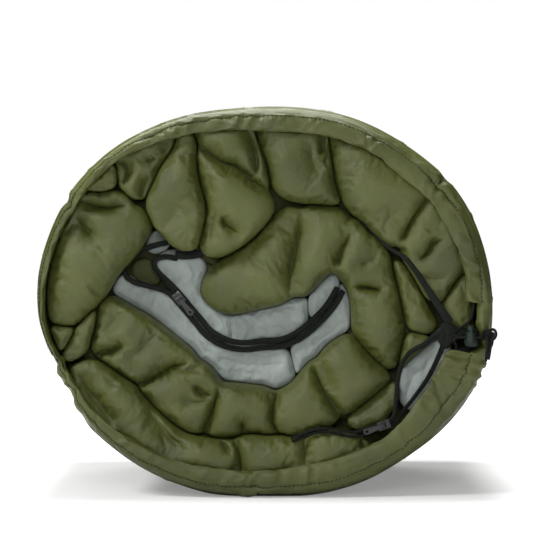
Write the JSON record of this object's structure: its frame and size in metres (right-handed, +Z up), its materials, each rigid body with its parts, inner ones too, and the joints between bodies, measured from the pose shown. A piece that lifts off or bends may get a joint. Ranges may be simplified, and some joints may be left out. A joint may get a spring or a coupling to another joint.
{
  "type": "rolled bivy sack",
  "caption": "Padded bivy sack rolled up loosely on its side, with quilted chambers, a grey lining, coil zippers and a drawcord hem with a cord lock round the open end.",
  "frame": {"origin": "on the ground, under the middle of the rolled sack, on the flat that it rests on", "axes": "+Y along the roll's axis, away from the open end with the drawcord hem; +Z up; +X to the right as seen from the open end"},
  "size_m": [0.5068, 0.4083, 0.431],
  "materials": {
    "shell_fabric": "satin woven polyester, olive green",
    "lining_fabric": "smooth woven polyester, grey",
    "batting": "lofted hollow-fibre fill, off-white",
    "zip_tape": "woven tape, black",
    "zip_coil": "nylon coil, black",
    "zip_metal": "black enamelled zinc",
    "cord": "braided polyester, black",
    "cord_lock": "moulded acetal, dark green",
    "spring_steel": "spring wire"
  },
  "bodies": {
    "root": {"chamber_core_left": "shell_fabric", "chamber_core_right": "shell_fabric", "chamber_flap_bottom_right": "shell_fabric", "chamber_flap_lower_right": "shell_fabric", "chamber_flap_right": "shell_fabric", "chamber_fold_inner": "shell_fabric", "chamber_fold_outer": "shell_fabric", "chamber_middle_bottom": "shell_fabric", "chamber_middle_bottom_left": "shell_fabric", "chamber_middle_left": "shell_fabric", "chamber_middle_lower_left": "shell_fabric", "chamber_middle_lower_right": "shell_fabric", "chamber_middle_right": "shell_fabric", "chamber_outer_bottom": "shell_fabric", "chamber_outer_bottom_right": "shell_fabric", "chamber_outer_left": "shell_fabric", "chamber_outer_lower_left": "shell_fabric", "chamber_outer_right": "shell_fabric", "chamber_outer_top": "shell_fabric", "chamber_outer_upper_left": "shell_fabric", "chamber_outer_upper_right": "shell_fabric", "chamber_petal_back": "shell_fabric", "chamber_petal_left": "shell_fabric", "chamber_petal_right": "shell_fabric", "chamber_pleat_left": "shell_fabric", "chamber_pleat_right": "shell_fabric", "chamber_pleat_top": "shell_fabric", "chamber_tuck_left": "shell_fabric", "cord_knot": "cord", "drawcord": "cord", "drawcord_hem": "shell_fabric", "inner_roll": "shell_fabric", "inner_zip_coil_lower": "zip_coil", "inner_zip_coil_upper": "zip_coil", "inner_zip_tape_lower": "zip_tape", "inner_zip_tape_upper": "zip_tape", "lining_corner": "lining_fabric", "lining_fold": "lining_fabric", "lining_lower": "lining_fabric", "lining_opening": "lining_fabric", "lining_right": "lining_fabric", "lining_upper": "lining_fabric", "outer_batting": "batting", "outer_shell": "shell_fabric", "outer_zip_coil_lower": "zip_coil", "outer_zip_coil_upper": "zip_coil", "outer_zip_tape_lower": "zip_tape", "outer_zip_tape_top": "zip_tape", "outer_zip_tape_upper": "zip_tape", "shell_panel_inner": "shell_fabric"},
    "cord_lock": {"cord_lock_barrel": "cord_lock", "cord_lock_spring": "spring_steel"},
    "plunger": {"cord_lock_plunger": "cord_lock"},
    "inner_slider": {"inner_zip_slider": "zip_metal"},
    "inner_pull": {"inner_zip_pull": "zip_metal"},
    "outer_slider": {"outer_zip_slider": "zip_metal"},
    "outer_pull": {"outer_zip_pull": "zip_metal"}
  },
  "joints": [
    {"name": "cord_lock_slide", "type": "slide", "parent": "root", "child": "cord_lock", "axis": [1, 0, 0], "range_m": [-0.005, 0.003]},
    {"name": "plunger_press", "type": "slide", "parent": "cord_lock", "child": "plunger", "axis": [0, 0, -1], "range_m": [0, 0.0038], "stiffness_N_per_m": 400, "deforming": ["cord_lock_spring"]},
    {"name": "inner_slider_run", "type": "slide", "parent": "root", "child": "inner_slider", "axis": [0.6459, 0, -0.7634], "range_m": [0, 0.03], "deforming": ["inner_zip_coil_upper", "inner_zip_coil_lower"]},
    {"name": "inner_pull_swing", "type": "hinge", "parent": "inner_slider", "child": "inner_pull", "pos_m": [-0.095, -0.1586, 0.2185], "axis": [-0.7634, 0, -0.6459], "range_deg": [0, 150]},
    {"name": "outer_slider_run", "type": "slide", "parent": "root", "child": "outer_slider", "axis": [-0.9403, 0, -0.3404], "range_m": [0, 0.02], "deforming": ["outer_zip_coil_upper", "outer_zip_coil_lower"]},
    {"name": "outer_pull_swing", "type": "hinge", "parent": "outer_slider", "child": "outer_pull", "pos_m": [0.132, -0.1906, 0.08], "axis": [-0.3404, 0, 0.9403], "range_deg": [0, 150]}
  ]
}
